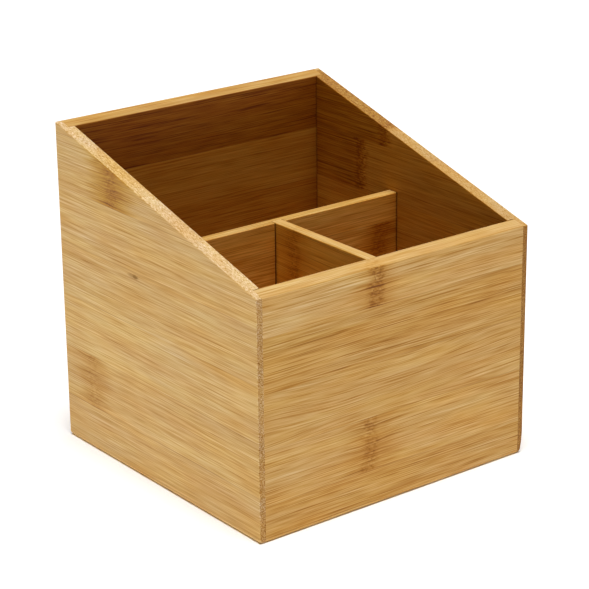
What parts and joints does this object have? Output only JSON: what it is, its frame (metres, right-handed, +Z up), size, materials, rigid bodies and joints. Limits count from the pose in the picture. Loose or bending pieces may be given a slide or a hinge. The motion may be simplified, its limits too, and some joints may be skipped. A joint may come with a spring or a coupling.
{
  "type": "coffee station organizer",
  "caption": "Open-topped bamboo box with a high back, sloping sides and a low front, divided into a wide rear pocket and smaller front pockets.",
  "frame": {"origin": "middle of the underside, level with the surface that the box stands on", "axes": "+X to the right as seen from the low front, +Y from the low front to the high back, +Z up"},
  "size_m": [0.15, 0.1484, 0.1518],
  "materials": {
    "bamboo": "satin clear coat on flat-pressed bamboo strips about 25 mm wide, grain along each board"
  },
  "bodies": {
    "root": {"left_side": "bamboo", "right_side": "bamboo", "front_board": "bamboo", "back_board": "bamboo", "base_board": "bamboo", "cross_divider": "bamboo", "centre_divider": "bamboo"}
  },
  "joints": []
}
